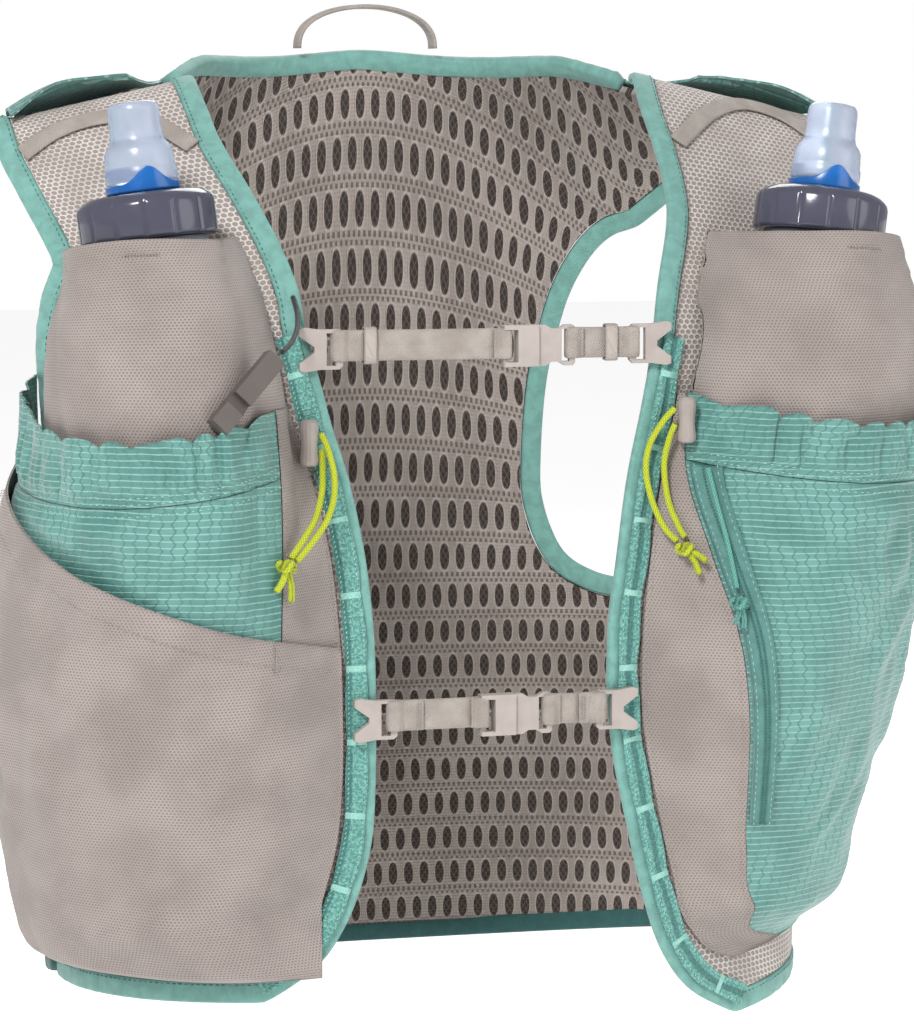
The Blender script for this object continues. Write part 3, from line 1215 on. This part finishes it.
# Stretch pocket with a slanting mouth on the wearer's right.
u = np.concatenate([np.linspace(0, OVER_JOIN, 16)[:-1], OVER_JOIN + (1 - OVER_JOIN) * eased(85)])[None, :]
v = np.concatenate([np.linspace(0, 0.03, 3), np.linspace(0.05, 1, 96)])[:, None]
top = arc_run(OVER_MOUTH, u)
low = OVER_FOOT[0] * (1 - u) + OVER_FOOT[1] * u
run = top + (low - top) * v
table = POCKET["r"]
rail, join, rim = smooth_at(table, 1, 0, run), smooth_at(table, 3, 2, run), smooth_at(table, 5, 4, run)
w = np.broadcast_to(u, run.shape)
g = np.where(
    w < OVER_JOIN, rail + (join - rail) * w / OVER_JOIN, join + (rim - join) * (w - OVER_JOIN) / (1 - OVER_JOIN),
)
own = pocket_off("r", g, run) - POCKET_SEAT
clear = 1.6 * (1 + smooth((g - 0.85) / 0.15))
off = POCKET_SEAT + POCKET_WALL + clear + own * foot_fall(run, OVER_FOOT[1], OVER_FOOT_SHARE)
rise = np.sin(np.pi * np.clip(u, 0, 1)) ** 0.5 * np.minimum(1, (1 - v) * 15)
POUCH_HEM, HEM_SEAM = 11, 9.5


def pouch(x, y):
    slack = np.abs(folds(x * 0.7 + y * 0.5, y * 0.8 - x * 0.3, 38, 71)) * 4.2
    down = y - y[0]
    fold = 3.2 * np.exp(-((y - 372 - x * 0.28) / 5.0) ** 2) * (x < 20)
    return (slack + fold) * rise + 0.55 * (down < POUCH_HEM)


outer, normals, plan = pocket_wall("pouch_r", "r", -1.0, g, run, off, "stretch_mesh", "stretch_pocket_r",
                                   pouch)
hem_row = int(np.argmax(plan[:, 50, 1] - plan[0, 50, 1] > HEM_SEAM))
row_stitches(light_stitches, outer, normals, hem_row)
hem = slice(1, hem_row + 3)
for column in (22, 78):
    for shift in (-0.9, 0.0, 0.9):
        sew(light_stitches, outer[hem, column] + [shift, 0, 0], normals[hem, column], 0.25, 1.1, 1.6, 0.32, 0.9)

# Zip: tape and coil.
zip_u = np.linspace(0, 1, 9)[None, :]
zip_run = np.linspace(0.452, 0.79, 130)[:, None] + 0 * zip_u
join = smooth_at(POCKET["l"], 3, 2, zip_run)
g = join + (0.5 + 7 * zip_u) / Q_LEN
off = pocket_off("l", g, zip_run) + POCKET_WALL + 1.0
tape_in, tape_out = pocket_point(g, zip_run, off), pocket_point(g, zip_run, off + 0.9)
wall("zip_tape", tape_in, tape_out, "zip", "zipper")
normals = torso_normal(g, zip_run)
teeth = []
for shift in (-0.7, 0.7):
    line = tape_out[:, 4] + normals[:, 4] * 0.3 + (tape_out[:, 5] - tape_out[:, 4]) * shift
    teeth.append(stitch_parts(line, normals[:, 4], 1.3, 1.0, 0.75))
verts, faces, uv = join_parts(teeth)
mesh_object("zip_coil", verts, faces, "thread_dark", None, uv, "zip")
for column in (1, -2):
    sew(teal_stitches, tape_out[:, column], normals[:, column], 0.1, 2.8, 2.0, 0.25)

# Elastic keepers across the shoulders.
KEEPER_W, KEEPER_SPAN = 8.0, (2.6, 3.9)
KEEPERS = {
    "r": [(0.775, 0.072), (0.69, 0.053), (0.598, 0.048), (0.52, 0.062), (0.46, 0.098)],
    "l": [(0.42, 0.1), (0.5, 0.055), (0.578, 0.03), (0.66, 0.032), (0.74, 0.052)],
}
for tag, side in SIDES:
    spots = spline(KEEPERS[tag], np.linspace(0, 1, 70))
    ends = spots[[0, -1]] + (spots[[0, -1]] - spots[[4, -5]]) * [[1.1], [1.3]]
    spots = np.concatenate([ends[:1], spots, ends[1:]])
    path, up = torso_point(side * spots[:, 0], spots[:, 1]), torso_normal(side * spots[:, 0], spots[:, 1])
    ribbon(f"shoulder_elastic_{tag}", path, up, KEEPER_W, *KEEPER_SPAN, "webbing", f"shoulder_keeper_{tag}")

# Grab loop.
LOOP_HALF, LOOP_Y, LOOP_Z, LOOP_RISE, LOOP_W, LOOP_T = 30.3, 98.2, 22.3, 18, 10.0, 2.0
turn = np.pi * (1 - np.linspace(0, 1, 70))
arc = LOOP_RISE * np.maximum(np.sin(turn), 0) ** 0.8
path = np.stack([LOOP_HALF * np.cos(turn), np.full(70, LOOP_Y), LOOP_Z + arc], axis=-1)
up = unit(path - [0, LOOP_Y, 12.0])
ribbon("grab_strap", path, up, LOOP_W, -LOOP_T / 2, LOOP_T / 2, "webbing", "grab_loop")

# Chest straps, between the rails.
WEB_W, WEB_T, PLATE, EYE_GAP = 12.0, 1.3, 3.0, 0.3
HOOK_RING, HOOK_PRONG, HOOK_BAR, BUCKLE_BAR, FRAME_L, TONGUE_L, FOLD = 9.0, 8.0, 2.6, 2.2, 14.0, 15.0, 9.0
# The strap keeper's section: along the strap, and how far it grows past the webbing.
KEEPER_SECTION = ((0, 0.5), (0, 1.0), (0.5, 1.25), (4.5, 1.25), (5, 1.0), (5, 0.5), (4.5, 0.3), (0.5, 0.3))
# Each strap: name, height as a share of DROP, place of the buckle, reach of the hooks, with keepers or not.
STRAPS = (("upper", -0.249, 0.14, 0.75, True), ("lower", -0.631, 0.07, 0.2, False))


def rail_corner(tag, side, height):
    g, r = edge(tag, 0, np.linspace(0, 1, 801))
    corner, _ = edge_line(side * g, r, side, RAIL_W - RAIL_LAP, np.full(801, RAIL_SEAT + RAIL_T))
    return corner[int(np.argmax((corner[:, 2] <= height) & (np.arange(801) > 40)))]


def strap_path(start_bar, start_half, end_bar, end_half, folds_in):
    """Side view of the webbing: tail, eye, run, eye, tail. Columns: x, y."""
    depth = PLATE / 2 + EYE_GAP + WEB_T / 2

    def eye(bar, half, step):
        reach = half + EYE_GAP + WEB_T / 2
        turn = np.linspace(-0.5 * np.pi, 0.5 * np.pi, 12)
        return [(bar - step * reach * np.cos(a) ** 0.5, depth * np.sin(a)) for a in turn]

    s = start_bar + start_half + EYE_GAP + WEB_T
    e = end_bar - end_half - EYE_GAP - WEB_T
    tail_s, tail_e = s + max(2.0, folds_in[0] * FOLD), e - max(2.0, folds_in[1] * FOLD)
    lay = WEB_T / 2 + 0.05
    points = [(tail_s, -lay), (s + 0.8, -lay), (start_bar + start_half, -depth)]
    points += eye(start_bar, start_half, 1)[1:-1]
    points += [(start_bar + start_half, depth), (s + 0.8, lay), (tail_s, lay), (tail_s + 2.5, 0), (tail_e - 2.5, 0)]
    points += [(tail_e, lay), (e - 0.8, lay), (end_bar - end_half, depth)]
    points += eye(end_bar, end_half, -1)[::-1][1:-1]
    points += [(end_bar - end_half, -depth), (e - 0.8, -lay), (tail_e, -lay)]
    return np.array(points), tail_s, tail_e


for name, drop, buckle_place, hook_reach, kept in STRAPS:
    right, left = rail_corner("r", -1.0, drop * DROP), rail_corner("l", 1.0, drop * DROP)
    along = left - right
    span = float(np.linalg.norm(along))
    half = span / 2 - hook_reach * HOOK_PRONG
    along = along / span
    upward = unit(np.array([0, 0, 1.0]) - along * along[2])
    back = np.cross(upward, along)
    middle = (right + left) / 2 + back * (-GAP * 3 - PLATE / 2)

    def local(x, y, z):
        return middle + np.multiply.outer(x, along) + np.multiply.outer(y, back) + np.multiply.outer(z, upward)

    frame_start = buckle_place * span - FRAME_L
    tongue_start = frame_start + FRAME_L
    hook_eye = half - HOOK_RING + HOOK_BAR / 2
    bars = {
        "r": (-hook_eye, HOOK_BAR / 2, frame_start + BUCKLE_BAR / 2, BUCKLE_BAR / 2, (1, 0)),
        "l": (tongue_start + TONGUE_L - BUCKLE_BAR / 2, BUCKLE_BAR / 2, hook_eye, HOOK_BAR / 2, (0, 0.6)),
    }
    for tag, (s_bar, s_half, e_bar, e_half, tails) in bars.items():
        points, tail_s, tail_e = strap_path(s_bar, s_half, e_bar, e_half, tails)
        fine = resample(np.stack([points[:, 0], points[:, 1], points[:, 0] * 0], axis=-1), 0.5)
        path = local(fine[:, 0], fine[:, 1], fine[:, 2])
        tangent = unit(np.gradient(path, axis=0))
        up = unit(np.cross(tangent, upward))
        ribbon(f"strap_{tag}_{name}", path, up, WEB_W, -WEB_T / 2, WEB_T / 2, "webbing",
               f"strap_webbing_{tag}_{name}", power=0.35)
        for x in ((tail_s - 1.2, tail_s - 2.4) if tag == "r" else (tail_e + 1.0, tail_e + 2.2)):
            ends = local(np.full(2, x), np.full(2, -WEB_T - 0.1), np.array([-4.6, 4.6]))
            light_stitches.append(stitch_parts(ends, np.array([-back, -back]), 0.8, 1.4, 0.3, 0.8))
    if kept:
        for tag, x in (("r", -hook_eye + FOLD + 1), ("l", hook_eye - FOLD - 2.5)):
            turn = full_turn(48)
            c, s = blunt(turn, 0.3)
            ring = [
                local(np.full(48, x + dx), s * (WEB_T + grow), c * (WEB_W / 2 + grow))
                for dx, grow in KEEPER_SECTION
            ]
            count = len(KEEPER_SECTION)
            faces = grid_faces(count + 1, 48, wrap=True) % (count * 48)
            uv = np.stack([np.tile(turn * 4, count), np.repeat(np.arange(float(count)), 48)], axis=-1)
            node = f"strap_keeper_{tag}_{name}"
            mesh_object(f"elastic_{tag}_{name}", np.concatenate(ring), faces, "webbing", node, uv)

# Thread.
for name, parts, look, slot in (
    ("stitches_light", light_stitches, "thread_light", "stretch_mesh"),
    ("stitches_teal", teal_stitches, "thread_teal", "binding"),
    ("stitches_dark", dark_stitches, "thread_dark", "binding"),
):
    verts, faces, uv = join_parts(parts)
    mesh_object(name, verts, faces, look, None, uv, slot)

# Hard parts keep their solids, with rounded edges and their finish.
HARD = {"cord_lock_r": ("cord_lock", 0.3), "cord_lock_l": ("cord_lock", 0.3), "whistle": ("whistle", 0.6)}
for place in ("upper", "lower"):
    for tag, _ in SIDES:
        HARD[f"strap_hook_{tag}_{place}"] = ("plastic", 0.5)
    for part in ("frame", "tongue"):
        HARD[f"buckle_{part}_{place}"] = ("plastic", 0.4)
for node, (look, radius) in HARD.items():
    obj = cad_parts[node]
    obj.data.materials.clear()
    obj.data.materials.append(LOOKS[look])
    bevel = obj.modifiers.new("edge", "BEVEL")
    bevel.width = radius * 0.001
    bevel.segments = 3
    bevel.limit_method = "ANGLE"
    bevel.angle_limit = math.radians(35)

# Floor, light and background.
FLOOR_Z, FLOOR_REACH = -0.41, 6
floor_mesh = bpy.data.meshes.new("floor")
corners = [(x * FLOOR_REACH, y * FLOOR_REACH, FLOOR_Z) for x, y in ((-1, -1), (1, -1), (1, 1), (-1, 1))]
floor_mesh.from_pydata(corners, [], [(0, 1, 2, 3)])
floor = bpy.data.objects.new("floor", floor_mesh)
bpy.context.scene.collection.objects.link(floor)
paper = Look("paper")
fleck = paper.noise(30, 2)
floor_mesh.materials.append(paper.finish(
    paper.mix(fleck, (240, 240, 240), (246, 246, 246)), 0.9,
    Emission_Color=(1, 1, 1, 1), Emission_Strength=0.6,
))


def area_light(name, where, aim, size, power):
    data = bpy.data.lights.new(name, "AREA")
    data.shape = "DISK"
    data.size = size
    data.energy = power
    obj = bpy.data.objects.new(name, data)
    obj.location = where
    obj.rotation_euler = (Vector(where) - Vector(aim)).to_track_quat("Z", "Y").to_euler()
    bpy.context.scene.collection.objects.link(obj)


area_light("key", (-0.9, -1.3, 1.1), (0, 0, -0.15), 0.55, 31)
area_light("fill", (1.3, -1.1, 0.3), (0, 0, -0.2), 1.2, 8)
area_light("back", (0.4, 1.3, 0.9), (0, 0, -0.1), 1.0, 10)

world = bpy.data.worlds.new("studio")
bpy.context.scene.world = world
world.use_nodes = True
tree = world.node_tree
tree.nodes.clear()
output = tree.nodes.new("ShaderNodeOutputWorld")
split = tree.nodes.new("ShaderNodeMixShader")
rays = tree.nodes.new("ShaderNodeLightPath")
soft, seen = (tree.nodes.new("ShaderNodeBackground") for _ in range(2))
for node, strength in ((soft, 0.36), (seen, 1.0)):
    node.inputs["Color"].default_value = (1, 1, 1, 1)
    node.inputs["Strength"].default_value = strength
tree.links.new(rays.outputs["Is Camera Ray"], split.inputs[0])
tree.links.new(soft.outputs[0], split.inputs[1])
tree.links.new(seen.outputs[0], split.inputs[2])
tree.links.new(split.outputs[0], output.inputs[0])
bpy.context.scene.view_settings.view_transform = "Standard"
bpy.context.scene.view_settings.look = "None"
